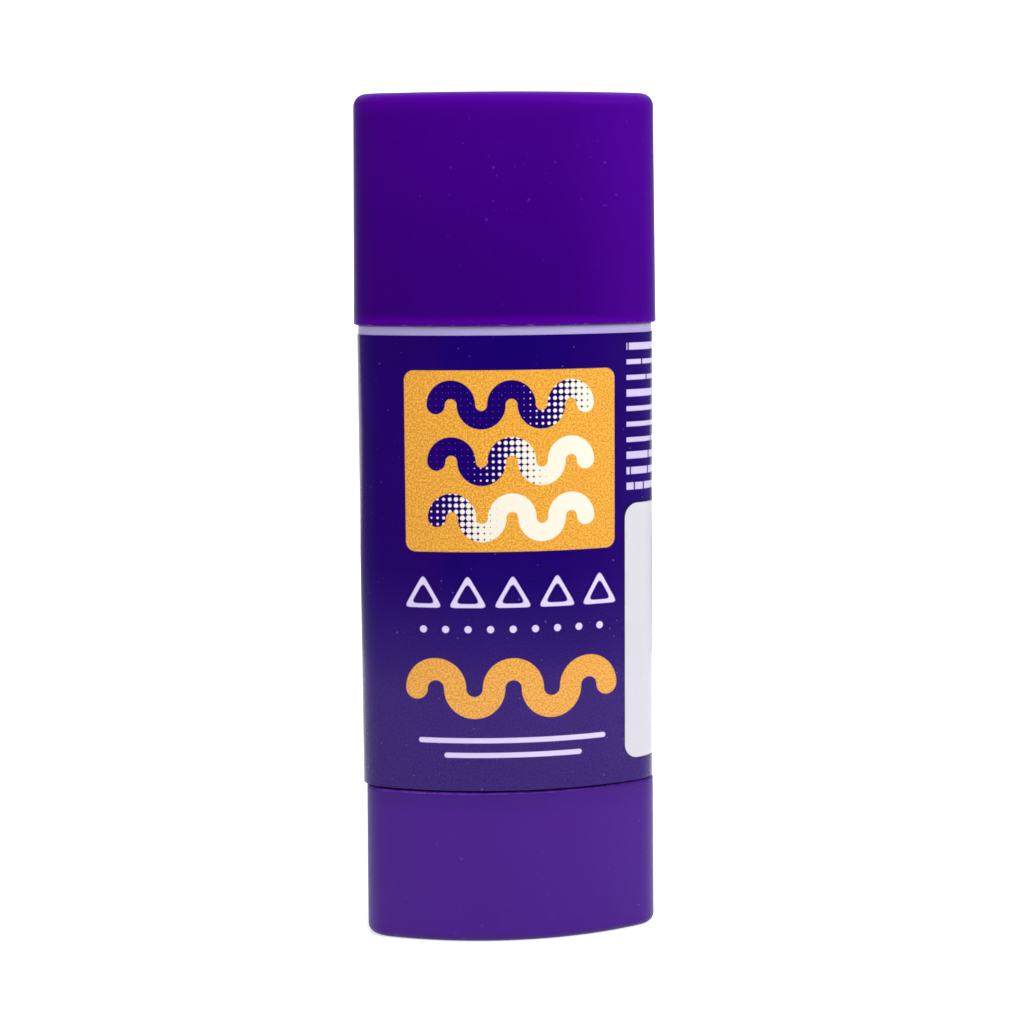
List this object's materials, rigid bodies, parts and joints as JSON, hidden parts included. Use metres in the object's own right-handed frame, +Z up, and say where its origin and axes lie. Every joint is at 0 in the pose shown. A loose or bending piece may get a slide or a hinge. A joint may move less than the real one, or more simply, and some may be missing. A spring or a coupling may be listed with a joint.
{
  "type": "glue stick",
  "caption": "Twist-up glue stick with a rounded-triangle barrel, turning knob, left-hand lead screw, sliding carrier and pull-off cap.",
  "frame": {"origin": "on the screw axis, in the plane of the rim that the knob stands on", "axes": "+Z up along the screw axis towards the cap, -Y out of the middle of the front face, +X to the right of someone who looks at the front face"},
  "size_m": [0.0304, 0.0301, 0.085],
  "materials": {
    "cap_plastic": "satin purple moulded plastic",
    "knob_plastic": "satin purple moulded plastic",
    "barrel_plastic": "smooth pale lilac moulded plastic",
    "label_film": "glossy printed film",
    "glue": "waxy violet glue",
    "carrier_plastic": "natural white moulded plastic",
    "spindle_plastic": "natural white moulded plastic"
  },
  "bodies": {
    "barrel": {"barrel": "barrel_plastic", "label": "label_film"},
    "knob": {"knob": "knob_plastic", "spindle": "spindle_plastic"},
    "carrier": {"carrier": "carrier_plastic", "glue": "glue"},
    "cap": {"cap": "cap_plastic"}
  },
  "joints": [
    {"name": "knob_turn", "type": "hinge", "parent": "barrel", "child": "knob", "pos_m": [0, 0, 0], "axis": [0, 0, 1], "range_deg": [0, 4320]},
    {"name": "carrier_slide", "type": "slide", "parent": "barrel", "child": "carrier", "axis": [0, 0, 1], "range_m": [0, 0.048]},
    {"name": "cap_slide", "type": "slide", "parent": "carrier", "child": "cap", "axis": [0, 0, 1], "range_m": [0, 0.04]}
  ],
  "couplings": [
    {"joint": "knob_turn", "follows": "carrier_slide", "rad_per_m": 1570.8}
  ]
}
